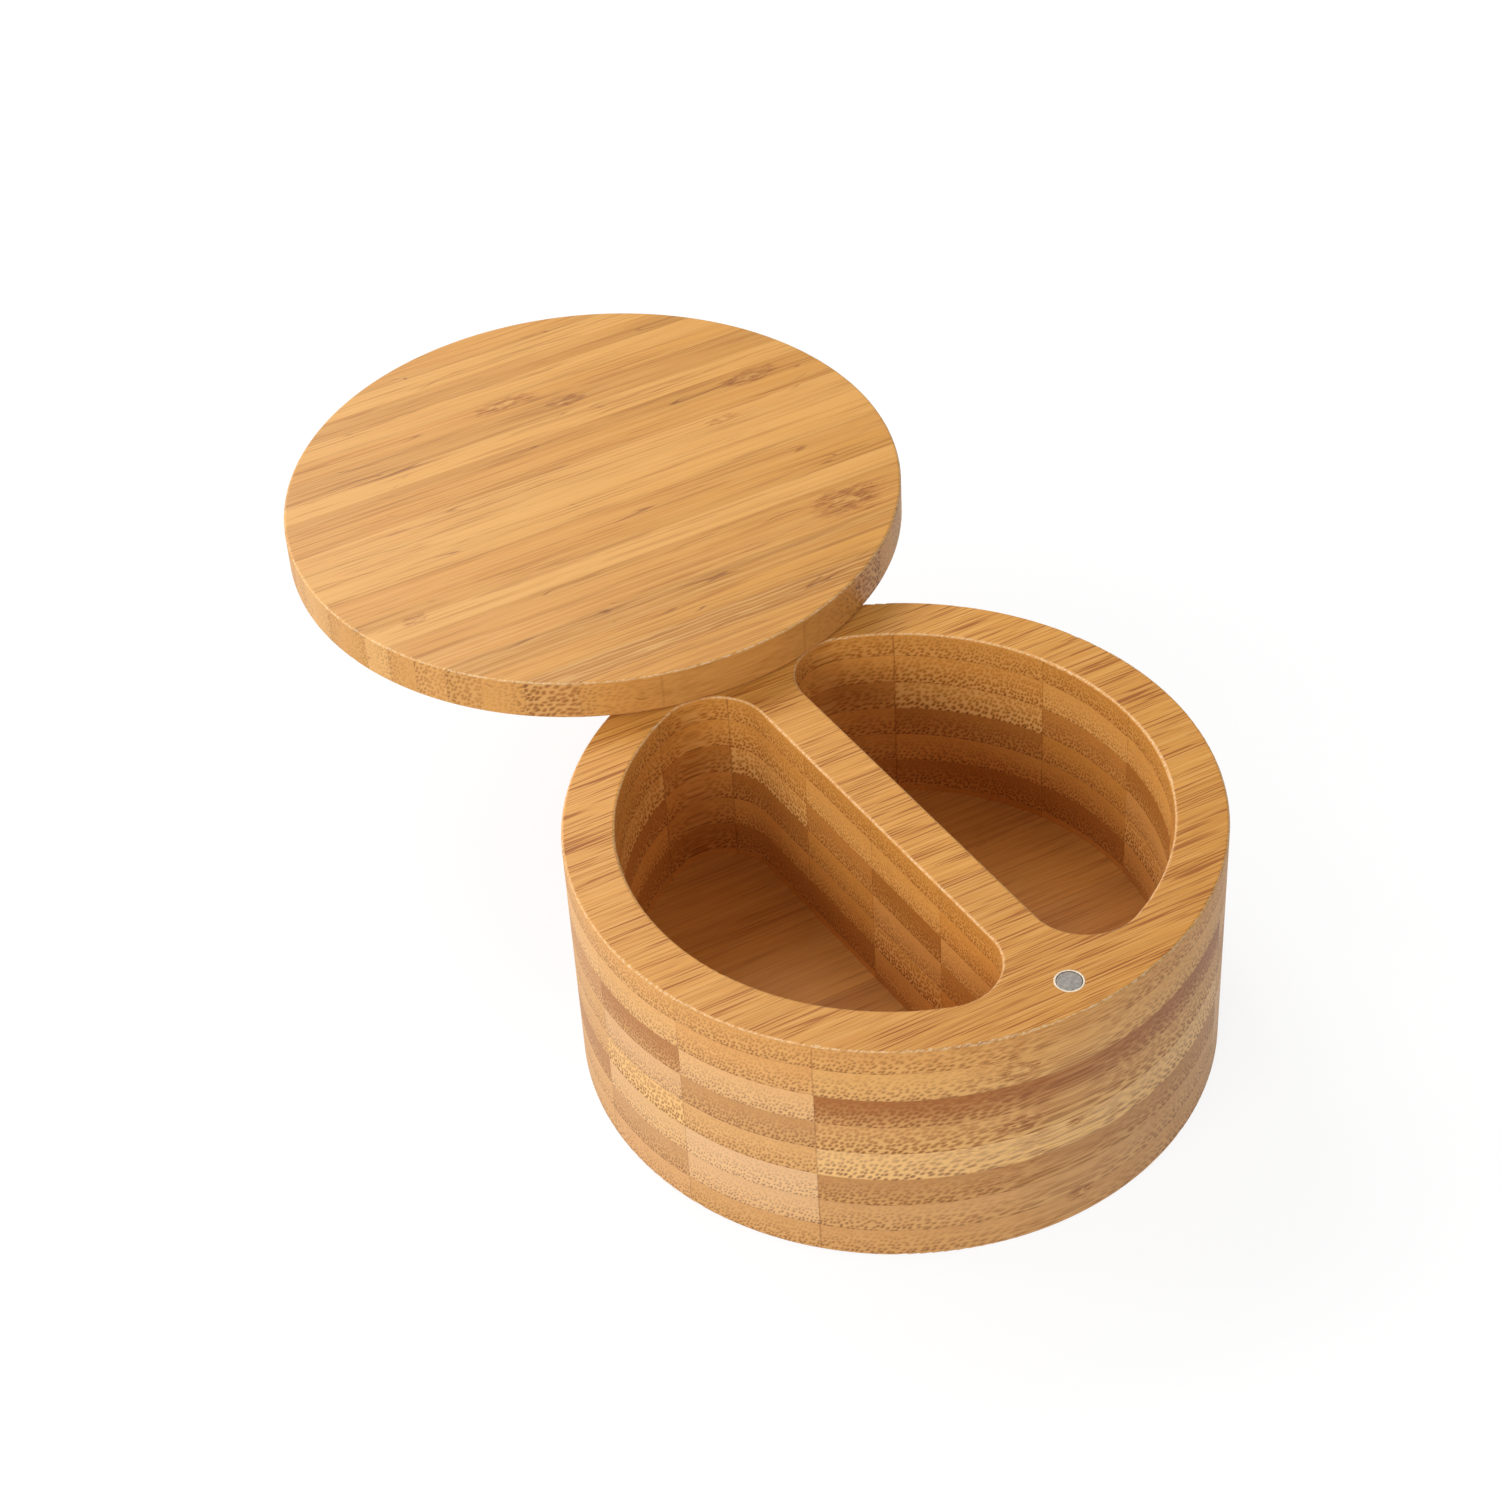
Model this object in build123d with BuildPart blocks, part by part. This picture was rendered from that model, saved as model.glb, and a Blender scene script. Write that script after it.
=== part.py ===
from build123d import *

import os

# Round salt box with two half-round pockets and a round lid that swivels on an
# upright pin. Millimetres, +Z up, origin at the centre of the body's underside,
# divider along Y, pin towards +Y, magnet towards -Y. The lid is drawn swung open
# by half a turn, so it lies over the pin on the +Y side.

# Body: planks glued side by side, turned round and milled out from above. The
# outer planks are what is left of them, and the others share the rest equally
body_diameter = 127.0
body_height = 54.8
wall_thickness = 10.3
floor_thickness = 12.4
divider_thickness = 10.2
pocket_corner_radius = 11.0
plank_count = 6
outer_plank_width = 17.5

# Lid: narrow staves on edge, a little wider than the body
lid_overhang = 1.5
lid_thickness = 9.0
stave_count = 21
outer_stave_width = 8.0

# All edges of the turned and milled wood are eased alike
edge_rounding = 0.6

# The grain of both blanks lies slightly askew to the divider's normal, in degrees
grain_angle = -4.0

# Swivel: a steel pin pressed into the body, turning in a blind bore of the lid
pin_edge_distance = 7.3
pin_diameter = 4.0
pin_depth_in_body = 16.0
pin_reach_in_lid = 6.0
pin_bevel = 0.4
running_clearance = 0.05
pin_end_clearance = 0.4

# A thin washer on the pin holds the lid off the rim
washer_diameter = 10.0
washer_thickness = 0.4
washer_bore_clearance = 0.1

# A disc magnet in the rim and one in the lid's underside, flush with the wood
magnet_edge_distance = 7.5
magnet_diameter = 5.0
magnet_thickness = 3.0
magnet_bevel = 0.2
magnet_glue_gap = 0.35

# Worked out from the sizes above
body_radius = body_diameter / 2
pocket_radius = body_radius - wall_thickness
lid_radius = body_radius + lid_overhang
lid_underside = body_height + washer_thickness

# Closed, the lid sits over the body's centre, so open it is as far beyond the pin
pin_y = body_radius - pin_edge_distance
lid_centre_y = 2 * pin_y
body_magnet_y = magnet_edge_distance - body_radius
lid_magnet_y = 2 * pin_y - body_magnet_y

grain_direction = Vector(1, 0, 0).rotate(Axis.Z, grain_angle)
across_grain = Vector(0, 1, 0).rotate(Axis.Z, grain_angle)

os.makedirs("parts", exist_ok=True)


def strip_bounds(blank_radius, count, outer_width):
    """The glue joints on each side of every strip of a blank, as distances from
    its middle. The strips between the two outer ones are equally wide, and None
    stands for the blank's own round edge."""
    first_joint = outer_width - blank_radius
    width = -2 * first_joint / (count - 2)
    joints = [first_joint + step * width for step in range(count - 1)]
    return zip([None] + joints, joints + [None])


def glue_joint_plane(blank_centre, distance):
    """The upright plane of the glue joint at a distance from the blank's middle."""
    return Plane(blank_centre + across_grain * distance, x_dir=grain_direction, z_dir=across_grain)


def cut_strip(blank_centre, low_joint, high_joint):
    """Keep what lies between two glue joints of the blank in the open builder."""
    if low_joint is not None:
        split(bisect_by=glue_joint_plane(blank_centre, low_joint), keep=Keep.TOP)
    if high_joint is not None:
        split(bisect_by=glue_joint_plane(blank_centre, high_joint), keep=Keep.BOTTOM)


# Body blank: the whole block with its pockets, pin bore and magnet seat
with BuildPart() as body_blank:
    with BuildSketch(Plane.XY):
        Circle(body_radius)
    extrude(amount=body_height)
    fillet(body_blank.edges().filter_by(GeomType.CIRCLE), edge_rounding)

    with BuildSketch(Plane.XY.offset(floor_thickness)) as pocket_outlines:
        Circle(pocket_radius)
        Rectangle(divider_thickness, 2 * pocket_radius, mode=Mode.SUBTRACT)
        fillet(pocket_outlines.vertices(), pocket_corner_radius)
    extrude(amount=body_height - floor_thickness, mode=Mode.SUBTRACT)
    rim_face = body_blank.faces().sort_by(Axis.Z)[-1]
    fillet(rim_face.inner_wires().edges(), edge_rounding)

    with Locations(Plane((0, pin_y, body_height))):
        Hole(pin_diameter / 2, depth=pin_depth_in_body)
    with Locations(Plane((0, body_magnet_y, body_height))):
        Hole(magnet_diameter / 2 + magnet_glue_gap, depth=magnet_thickness)


# Body planks: the blank sawn apart again at its glue joints
for number, (low, high) in enumerate(strip_bounds(body_radius, plank_count, outer_plank_width), start=1):
    with BuildPart() as body_plank:
        add(body_blank.part)
        cut_strip(Vector(0, 0, 0), low, high)
    plank_name = f"body_plank_{number}"
    body_plank.part.label = plank_name
    export_step(body_plank.part, f"parts/{plank_name}.step")


# Pivot pin: bevelled at both ends, pressed into the body
with BuildPart() as pivot_pin:
    with BuildSketch(Plane((0, pin_y, body_height - pin_depth_in_body))):
        Circle(pin_diameter / 2)
    extrude(amount=pin_depth_in_body + washer_thickness + pin_reach_in_lid)
    chamfer(pivot_pin.edges().filter_by(GeomType.CIRCLE), pin_bevel)
pivot_pin.part.label = "pivot_pin"
export_step(pivot_pin.part, "parts/pivot_pin.step")


# Pivot washer: lies on the rim round the pin, under the lid
with BuildPart() as pivot_washer:
    with BuildSketch(Plane((0, pin_y, body_height))):
        Circle(washer_diameter / 2)
        Circle(pin_diameter / 2 + washer_bore_clearance, mode=Mode.SUBTRACT)
    extrude(amount=washer_thickness)
pivot_washer.part.label = "pivot_washer"
export_step(pivot_washer.part, "parts/pivot_washer.step")


# Body magnet: its bevelled face looks up, flush with the rim
with BuildPart() as body_magnet:
    with BuildSketch(Plane((0, body_magnet_y, body_height - magnet_thickness))):
        Circle(magnet_diameter / 2)
    extrude(amount=magnet_thickness)
    chamfer(body_magnet.faces().sort_by(Axis.Z)[-1].edges(), magnet_bevel)
body_magnet.part.label = "body_magnet"
export_step(body_magnet.part, "parts/body_magnet.step")


# Lid blank: the whole disc with the blind bore for the pin and the magnet seat
with BuildPart() as lid_blank:
    with BuildSketch(Plane((0, lid_centre_y, lid_underside))):
        Circle(lid_radius)
    extrude(amount=lid_thickness)
    fillet(lid_blank.edges().filter_by(GeomType.CIRCLE), edge_rounding)
    with Locations(Plane((0, pin_y, lid_underside), z_dir=(0, 0, -1))):
        Hole(pin_diameter / 2 + running_clearance, depth=pin_reach_in_lid + pin_end_clearance)
    with Locations(Plane((0, lid_magnet_y, lid_underside), z_dir=(0, 0, -1))):
        Hole(magnet_diameter / 2 + magnet_glue_gap, depth=magnet_thickness)


# Lid staves: the disc sawn apart again at its glue joints
for number, (low, high) in enumerate(strip_bounds(lid_radius, stave_count, outer_stave_width), start=1):
    with BuildPart() as lid_stave:
        add(lid_blank.part)
        cut_strip(Vector(0, lid_centre_y, 0), low, high)
    stave_name = f"lid_stave_{number:02d}"
    lid_stave.part.label = stave_name
    export_step(lid_stave.part, f"parts/{stave_name}.step")


# Lid magnet: its bevelled face looks down, flush with the lid's underside
with BuildPart() as lid_magnet:
    with BuildSketch(Plane((0, lid_magnet_y, lid_underside))):
        Circle(magnet_diameter / 2)
    extrude(amount=magnet_thickness)
    chamfer(lid_magnet.faces().sort_by(Axis.Z)[0].edges(), magnet_bevel)
lid_magnet.part.label = "lid_magnet"
export_step(lid_magnet.part, "parts/lid_magnet.step")
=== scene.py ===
import math
import random

import bpy
from bpy.props import FloatProperty, FloatVectorProperty, IntProperty, PointerProperty
from bpy.types import Operator, Panel, PropertyGroup
from mathutils import Matrix, Vector


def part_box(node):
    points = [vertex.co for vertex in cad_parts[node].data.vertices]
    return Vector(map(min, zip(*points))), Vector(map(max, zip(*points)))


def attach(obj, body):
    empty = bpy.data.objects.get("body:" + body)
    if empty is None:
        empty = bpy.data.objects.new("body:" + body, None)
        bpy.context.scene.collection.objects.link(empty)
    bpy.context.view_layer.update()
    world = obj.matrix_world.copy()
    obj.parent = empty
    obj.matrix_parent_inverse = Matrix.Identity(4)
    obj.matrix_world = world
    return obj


bl_info = {
    "name": "Swivel-Lid Salt Box",
    "version": (1, 0, 0),
    "blender": (4, 5, 0),
    "location": "3D View > Sidebar > Salt Box",
    "description": "Dresses a round bamboo salt box with a swivel lid and lights it in a white studio",
    "category": "Object",
}

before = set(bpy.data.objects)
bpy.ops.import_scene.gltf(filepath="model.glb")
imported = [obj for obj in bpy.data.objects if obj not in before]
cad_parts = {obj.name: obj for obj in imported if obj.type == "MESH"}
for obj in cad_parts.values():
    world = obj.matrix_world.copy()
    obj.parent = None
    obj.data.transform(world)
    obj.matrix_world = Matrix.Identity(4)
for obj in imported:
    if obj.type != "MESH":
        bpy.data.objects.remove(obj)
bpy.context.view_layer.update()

MM = 0.001
PLANK_NAMES = sorted(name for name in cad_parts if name.startswith("body_plank_"))
STAVE_NAMES = sorted(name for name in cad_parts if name.startswith("lid_stave_"))


def joined_box(names):
    """Lowest and highest corner of several nodes together, in millimetres."""
    boxes = [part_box(name) for name in names]
    low = [min(box[0][axis] for box in boxes) / MM for axis in range(3)]
    high = [max(box[1][axis] for box in boxes) / MM for axis in range(3)]
    return low, high


BODY_LOW, BODY_HIGH = joined_box(PLANK_NAMES)
LID_LOW, LID_HIGH = joined_box(STAVE_NAMES)
LID_CENTRE_Y = (LID_LOW[1] + LID_HIGH[1]) / 2
STRIP_THICKNESS = 7.0
BODY_HEIGHT = BODY_HIGH[2] - BODY_LOW[2]
STRIP_COUNT = math.ceil(BODY_HEIGHT / STRIP_THICKNESS)
PLANED_OFF = STRIP_COUNT * STRIP_THICKNESS - BODY_HEIGHT

# Strips of the body that stand out from the rest, as (plank, strip): planks are counted from the magnet's
# side and strips from the rim down, both starting at 1
SMOKED_STRIPS = {
    (1, 1): 0.22, (1, 3): 1.0, (1, 4): 0.15, (1, 6): 0.3, (2, 1): 0.15, (2, 4): 0.25, (3, 3): 0.75, (4, 3): 0.4,
    (4, 6): 0.6, (5, 4): 0.6, (5, 6): 0.6, (6, 3): 0.5, (6, 6): 0.5,
}
PALE_STRIPS = {
    (2, 3): 0.6, (2, 6): 1.0, (2, 7): 0.7, (1, 5): 0.55, (3, 2): 0.4, (3, 6): 0.6, (3, 4): 0.5, (5, 3): 0.4,
    (4, 2): 0.5, (1, 2): 0.3,
}
COARSE_STRIPS = {(1, 5): 0.8, (3, 5): 1.0, (5, 3): 0.8, (1, 4): 0.4, (5, 2): 0.3}
DULL_STRIPS = {(3, 7): 0.8, (2, 4): 0.5, (1, 6): 0.4, (1, 7): 0.5, (6, 5): 0.5}
# Golden above zero, rosy below
STRIP_HUES = {
    (1, 1): 0.3, (1, 2): 0.5, (1, 5): 0.3, (1, 7): -0.3, (1, 8): -0.3, (2, 1): 0.3, (2, 2): -0.3, (2, 3): -0.4,
    (2, 6): -0.6, (2, 7): -0.6, (3, 1): 0.4, (3, 4): -0.7, (3, 5): 0.3, (3, 7): -0.4, (3, 8): -0.8, (4, 1): 0.3,
    (4, 3): -0.6, (4, 4): 0.4, (5, 1): 0.3, (5, 2): 0.3, (5, 3): 0.4, (6, 1): 0.3, (6, 4): -0.5,
}

# Staves of the lid that stand out, counted from the pin's side and starting at 1
PALE_STAVES = {11: 0.8, 10: 0.6, 12: 0.6, 7: 0.8, 15: 0.7, 18: 0.6, 20: 0.7}
DARK_STAVES = {14: 0.8, 16: 0.9, 19: 0.8, 4: 0.8, 2: 0.9, 3: 0.3}
COARSE_STAVES = {2: 1.0, 4: 0.5, 5: 0.4}


# ---------------------------------------------------------------- settings


class SALTBOX_PG_bamboo(PropertyGroup):
    """Colours and fibre sizes of the bamboo"""

    pale: FloatVectorProperty(
        name="Pale", description="Soft inner side of a strip", subtype="COLOR", size=3, default=(0.72, 0.328, 0.068)
    )
    ripe: FloatVectorProperty(
        name="Ripe", description="Dense outer side of a strip", subtype="COLOR", size=3, default=(0.51, 0.188, 0.024)
    )
    lid_ripe: FloatVectorProperty(
        name="Ripe on the lid", description="Dense side of the lid's staves", subtype="COLOR", size=3,
        default=(0.52, 0.226, 0.036),
    )
    smoked: FloatVectorProperty(
        name="Smoked", description="Strips that were steamed darker", subtype="COLOR", size=3,
        default=(0.36, 0.115, 0.014),
    )
    fibre: FloatVectorProperty(
        name="Fibre", description="Fibre bundles, cut across", subtype="COLOR", size=3, default=(0.165, 0.053, 0.008)
    )
    # Also the base of the eased edges, which are partly worn fibres and partly a painted highlight
    worn: FloatVectorProperty(
        name="Worn", description="Soft pith between the bundles and sanded edges", subtype="COLOR", size=3,
        default=(0.88, 0.54, 0.190),
    )
    grain_angle: FloatProperty(
        name="Grain angle", description="Turn of the grain from the X axis", subtype="ANGLE",
        default=math.radians(-4.0),
    )
    fibre_pitch: FloatProperty(
        name="Fibre pitch", description="Distance between fibre bundles", unit="LENGTH", default=0.95 * MM
    )
    plank_width: FloatProperty(
        name="Plank width", description="Of the body's inner planks", unit="LENGTH", default=23.0 * MM
    )
    stave_width: FloatProperty(
        name="Stave width", description="Of the lid's inner staves", unit="LENGTH", default=6.0 * MM
    )
    gloss: FloatProperty(
        name="Gloss", description="Refractive index of the oil", min=1.0, max=2.0, default=1.45
    )
    roughness: FloatProperty(
        name="Roughness", description="Of the oiled surface", subtype="FACTOR", min=0.0, max=1.0, default=0.46
    )
    bump: FloatProperty(
        name="Fibre relief", description="Depth of the open fibre bundles", unit="LENGTH", default=0.03 * MM
    )


class SALTBOX_PG_hardware(PropertyGroup):
    """Pin, washer and magnets"""

    nickel: FloatVectorProperty(
        name="Nickel", description="Plating of the magnets", subtype="COLOR", size=3, default=(0.46, 0.425, 0.385)
    )
    steel: FloatVectorProperty(
        name="Steel", description="Pin and washer", subtype="COLOR", size=3, default=(0.56, 0.56, 0.57)
    )
    glue: FloatVectorProperty(
        name="Glue", description="Bead of clear glue round each magnet", subtype="COLOR", size=3,
        default=(0.84, 0.68, 0.48),
    )
    glue_bead: FloatProperty(
        name="Glue bead", description="Width of the bead round each magnet", unit="LENGTH", default=0.36 * MM
    )


class SALTBOX_PG_studio(PropertyGroup):
    """Camera, lamps and floor"""

    lens: FloatProperty(name="Lens", description="Focal length", unit="CAMERA", default=80.0937)
    camera_place: FloatVectorProperty(
        name="Camera", description="Where the camera stands", subtype="TRANSLATION", size=3,
        default=(-0.25807825, -0.39456938, 0.48168813),
    )
    back_power: FloatProperty(name="Back lamp", description="Power of the lamp behind", unit="POWER", default=8.3)
    side_power: FloatProperty(
        name="Side lamp", description="Power of the lamp behind on the left", unit="POWER", default=3.7
    )
    left_power: FloatProperty(name="Left lamp", description="Power of the lamp on the left", unit="POWER", default=2.9)
    front_power: FloatProperty(name="Front lamp", description="Power of the lamp in front", unit="POWER", default=1.6)
    sky: FloatProperty(name="Room light", description="Strength of the white room", min=0.0, default=0.30)


SETTINGS = (
    ("saltbox_bamboo", SALTBOX_PG_bamboo),
    ("saltbox_hardware", SALTBOX_PG_hardware),
    ("saltbox_studio", SALTBOX_PG_studio),
)


# ---------------------------------------------------------------- shader wiring


class Wiring:
    """Adds shader nodes to one tree and joins them. A value is a number, a colour or an output socket."""

    def __init__(self, tree):
        self.tree = tree
        self.count = 0

    def node(self, kind, label="", **settings):
        node = self.tree.nodes.new(kind)
        node.label = label
        for name, value in settings.items():
            setattr(node, name, value)
        node.location = (220 * (self.count % 12), -260 * (self.count // 12))
        self.count += 1
        return node

    def feed(self, socket, value):
        if isinstance(value, bpy.types.NodeSocket):
            self.tree.links.new(value, socket)
        elif value is not None:
            if socket.type == "RGBA" and len(value) == 3:
                value = (*value, 1.0)
            socket.default_value = value

    def math(self, operation, *values, clamp=False):
        node = self.node("ShaderNodeMath", operation=operation, use_clamp=clamp)
        for socket, value in zip(node.inputs, values):
            self.feed(socket, value)
        return node.outputs[0]

    def vector(self, operation, *values):
        node = self.node("ShaderNodeVectorMath", operation=operation)
        for socket, value in zip(node.inputs, values):
            self.feed(socket, value)
        return node.outputs["Value"] if operation in ("DOT_PRODUCT", "LENGTH", "DISTANCE") else node.outputs[0]

    def scale(self, vector, factor):
        node = self.node("ShaderNodeVectorMath", operation="SCALE")
        self.feed(node.inputs[0], vector)
        self.feed(node.inputs["Scale"], factor)
        return node.outputs[0]

    def combine(self, x, y, z):
        node = self.node("ShaderNodeCombineXYZ")
        for socket, value in zip(node.inputs, (x, y, z)):
            self.feed(socket, value)
        return node.outputs[0]

    def separate(self, vector):
        node = self.node("ShaderNodeSeparateXYZ")
        self.feed(node.inputs[0], vector)
        return node.outputs[0], node.outputs[1], node.outputs[2]

    def ramp(self, value, low, high, to_low=0.0, to_high=1.0, kind="SMOOTHSTEP"):
        node = self.node("ShaderNodeMapRange", interpolation_type=kind)
        for name, setting in (("Value", value), ("From Min", low), ("From Max", high), ("To Min", to_low),
                              ("To Max", to_high)):
            self.feed(node.inputs[name], setting)
        return node.outputs[0]

    def mix(self, factor, a, b, blend="MIX"):
        node = self.node("ShaderNodeMix", data_type="RGBA", blend_type=blend, clamp_factor=True)
        for socket, value in ((node.inputs[0], factor), (node.inputs[6], a), (node.inputs[7], b)):
            self.feed(socket, value)
        return node.outputs[2]

    def blend_values(self, factor, a, b):
        node = self.node("ShaderNodeMix", data_type="FLOAT", clamp_factor=True)
        for socket, value in ((node.inputs[0], factor), (node.inputs[2], a), (node.inputs[3], b)):
            self.feed(socket, value)
        return node.outputs[0]

    def noise(self, vector, scale=1.0, detail=2.0, roughness=0.5):
        node = self.node("ShaderNodeTexNoise")
        for name, value in (("Vector", vector), ("Scale", scale), ("Detail", detail), ("Roughness", roughness)):
            self.feed(node.inputs[name], value)
        return node.outputs["Fac"], node.outputs["Color"]

    def random(self, seed):
        node = self.node("ShaderNodeTexWhiteNoise", noise_dimensions="1D")
        self.feed(node.inputs["W"], seed)
        return node.outputs["Value"]

    def group(self, tree, **values):
        node = self.node("ShaderNodeGroup", label=tree.name, node_tree=tree)
        for name, value in values.items():
            self.feed(node.inputs[name.replace("_", " ").capitalize()], value)
        return node.outputs


KINDS = {"value": "NodeSocketFloat", "vector": "NodeSocketVector", "colour": "NodeSocketColor"}


def shader_group(name, inputs, outputs):
    """An empty node group with named sockets, its wiring, its input sockets and its output node."""
    tree = bpy.data.node_groups.new(name, "ShaderNodeTree")
    for socket_name, kind, default in inputs:
        socket = tree.interface.new_socket(name=socket_name, in_out="INPUT", socket_type=KINDS[kind])
        socket.default_value = (*default, 1.0) if kind == "colour" else default
    for socket_name, kind in outputs:
        tree.interface.new_socket(name=socket_name, in_out="OUTPUT", socket_type=KINDS[kind])
    wires = Wiring(tree)
    sockets = wires.node("NodeGroupInput").outputs
    result = wires.node("NodeGroupOutput").inputs
    return tree, wires, sockets, result


# ---------------------------------------------------------------- effects shared by materials


def grain_frame_group():
    """Millimetres along the grain, across it and up from a blank's centre, and which way a face looks"""
    tree, wires, given, result = shader_group(
        "Grain frame",
        (("Centre", "vector", (0.0, 0.0, 0.0)), ("Angle", "value", 0.0)),
        (("Along", "value"), ("Across", "value"), ("Up", "value"), ("Radius", "value"), ("End grain", "value"),
         ("Level", "value")),
    )
    surface = wires.node("ShaderNodeTexCoord")
    from_centre = wires.vector("SUBTRACT", wires.scale(surface.outputs["Object"], 1 / MM), given["Centre"])
    turned = []
    for vector in (from_centre, surface.outputs["Normal"]):
        turn = wires.node("ShaderNodeVectorRotate", rotation_type="Z_AXIS")
        wires.feed(turn.inputs["Vector"], vector)
        wires.feed(turn.inputs["Angle"], wires.math("MULTIPLY", given["Angle"], -1.0))
        turned.append(wires.separate(turn.outputs[0]))
    (along, across, up), (facing, _, level) = turned
    radius = wires.vector("LENGTH", wires.combine(along, across, 0.0))
    end_grain = wires.ramp(wires.math("ABSOLUTE", facing), 0.10, 0.55)
    for name, value in (("Along", along), ("Across", across), ("Up", up), ("Radius", radius),
                        ("End grain", end_grain), ("Level", wires.math("ABSOLUTE", level))):
        wires.feed(result[name], value)
    return tree


def bundle_group():
    """Fibre bundles that run with the grain and wander: dots where a face cuts them, dashes along them"""
    tree, wires, given, result = shader_group(
        "Fibre bundles",
        (
            ("Along", "value", 0.0), ("Across", "value", 0.0), ("Up", "value", 0.0), ("Seed", "value", 0.0),
            ("Pitch", "value", 0.95), ("Crowding", "value", 1.75), ("Coarseness", "value", 0.0),
            ("Wander", "value", 1.0), ("Tangle", "value", 0.0),
        ),
        (("Bundles", "value"), ("Gaps", "value")),
    )
    along, across, up = given["Along"], given["Across"], given["Up"]
    course = wires.combine(
        wires.math("DIVIDE", along, 14.0), wires.math("DIVIDE", across, 9.0), wires.math("DIVIDE", up, 9.0)
    )
    drift = wires.vector("SUBTRACT", wires.noise(course, detail=1.0)[1], (0.5, 0.5, 0.5))
    curl = wires.vector("SUBTRACT", wires.noise(wires.combine(
        wires.math("MULTIPLY", along, 0.3), across, up), scale=0.45, detail=1.0)[1], (0.5, 0.5, 0.5))
    sway = wires.vector(
        "ADD", wires.scale(drift, wires.math("MULTIPLY", given["Wander"], 1.5)),
        wires.scale(curl, wires.math("MULTIPLY", given["Tangle"], 4.0)),
    )
    closer = wires.math("MULTIPLY", across, given["Crowding"])
    staggered = wires.math("ADD", wires.math("ADD", closer, wires.math("MULTIPLY", up, 0.5)), wires.math(
        "MULTIPLY", given["Seed"], 37.7))
    section = wires.vector("ADD", wires.combine(staggered, up, 0.0), sway)
    pitch = wires.math("MULTIPLY", given["Pitch"], wires.blend_values(given["Coarseness"], 1.0, 1.22))
    cells = wires.node("ShaderNodeTexVoronoi", voronoi_dimensions="2D", feature="F1")
    wires.feed(cells.inputs["Vector"], section)
    wires.feed(cells.inputs["Scale"], wires.math("DIVIDE", 1.0, pitch))
    wires.feed(cells.inputs["Randomness"], 0.72)
    pick, size, _ = wires.separate(cells.outputs["Color"])
    reach = wires.math("ADD", wires.math("MULTIPLY", size, 0.08), 0.22)
    dot = wires.ramp(cells.outputs["Distance"], wires.math("SUBTRACT", reach, 0.10), wires.math("ADD", reach, 0.14),
                     1.0, 0.0)
    wires.feed(result["Bundles"], wires.math("MULTIPLY", dot, wires.blend_values(pick, 0.6, 1.0)))
    wires.feed(result["Gaps"], wires.ramp(cells.outputs["Distance"], 0.34, 0.56))
    return tree


def streak_group():
    """Fine dark and pale dashes that run with the grain, thicker in some places, and a rare wavy vein"""
    tree, wires, given, result = shader_group(
        "Grain streaks",
        (
            ("Along", "value", 0.0), ("Across", "value", 0.0), ("Up", "value", 0.0), ("Seed", "value", 0.0),
            ("Length", "value", 16.0), ("Width", "value", 0.38), ("Waviness", "value", 0.10), ("Tangle", "value", 0.0),
        ),
        (("Dark", "value"), ("Pale", "value"), ("Broad", "value"), ("Vein", "value")),
    )
    along, up = given["Along"], given["Up"]
    across = wires.math("ADD", given["Across"], wires.math("MULTIPLY", given["Seed"], 23.3))
    place = wires.combine(wires.math("MULTIPLY", along, 0.35), across, up)
    curl = wires.vector("SUBTRACT", wires.noise(place, scale=0.5, detail=1.0)[1], (0.5, 0.5, 0.5))
    curl = wires.scale(curl, wires.math("ADD", given["Waviness"], wires.math("MULTIPLY", given["Tangle"], 3.5)))
    bent = wires.vector("ADD", wires.combine(0.0, across, up), curl)
    _, bent_across, bent_up = wires.separate(bent)
    fine = wires.combine(
        wires.math("DIVIDE", along, given["Length"]), wires.math("DIVIDE", bent_across, given["Width"]),
        wires.math("DIVIDE", bent_up, given["Width"]),
    )
    dashes = wires.noise(fine, detail=1.0, roughness=0.4)[0]
    soft = wires.combine(
        wires.math("DIVIDE", along, 45.0), wires.math("DIVIDE", bent_across, 3.0), wires.math("DIVIDE", bent_up, 3.0)
    )
    broad = wires.noise(soft, detail=2.0, roughness=0.6)[0]
    crowd = wires.ramp(broad, 0.36, 0.60, 0.25, 0.85)
    vein_course = wires.combine(
        wires.math("DIVIDE", along, 40.0), wires.math("DIVIDE", bent_across, 5.0), wires.math("DIVIDE", up, 9.0)
    )
    level = wires.noise(vein_course, detail=1.0)[0]
    off_vein = wires.math("ABSOLUTE", wires.math("SUBTRACT", level, 0.5))
    vein = wires.math("MULTIPLY", wires.ramp(off_vein, 0.012, 0.002), wires.ramp(broad, 0.54, 0.64))
    wires.feed(result["Dark"], wires.math("MULTIPLY", wires.ramp(dashes, 0.53, 0.62), crowd))
    wires.feed(result["Pale"], wires.ramp(dashes, 0.44, 0.34))
    wires.feed(result["Broad"], broad)
    wires.feed(result["Vein"], vein)
    return tree


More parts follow.
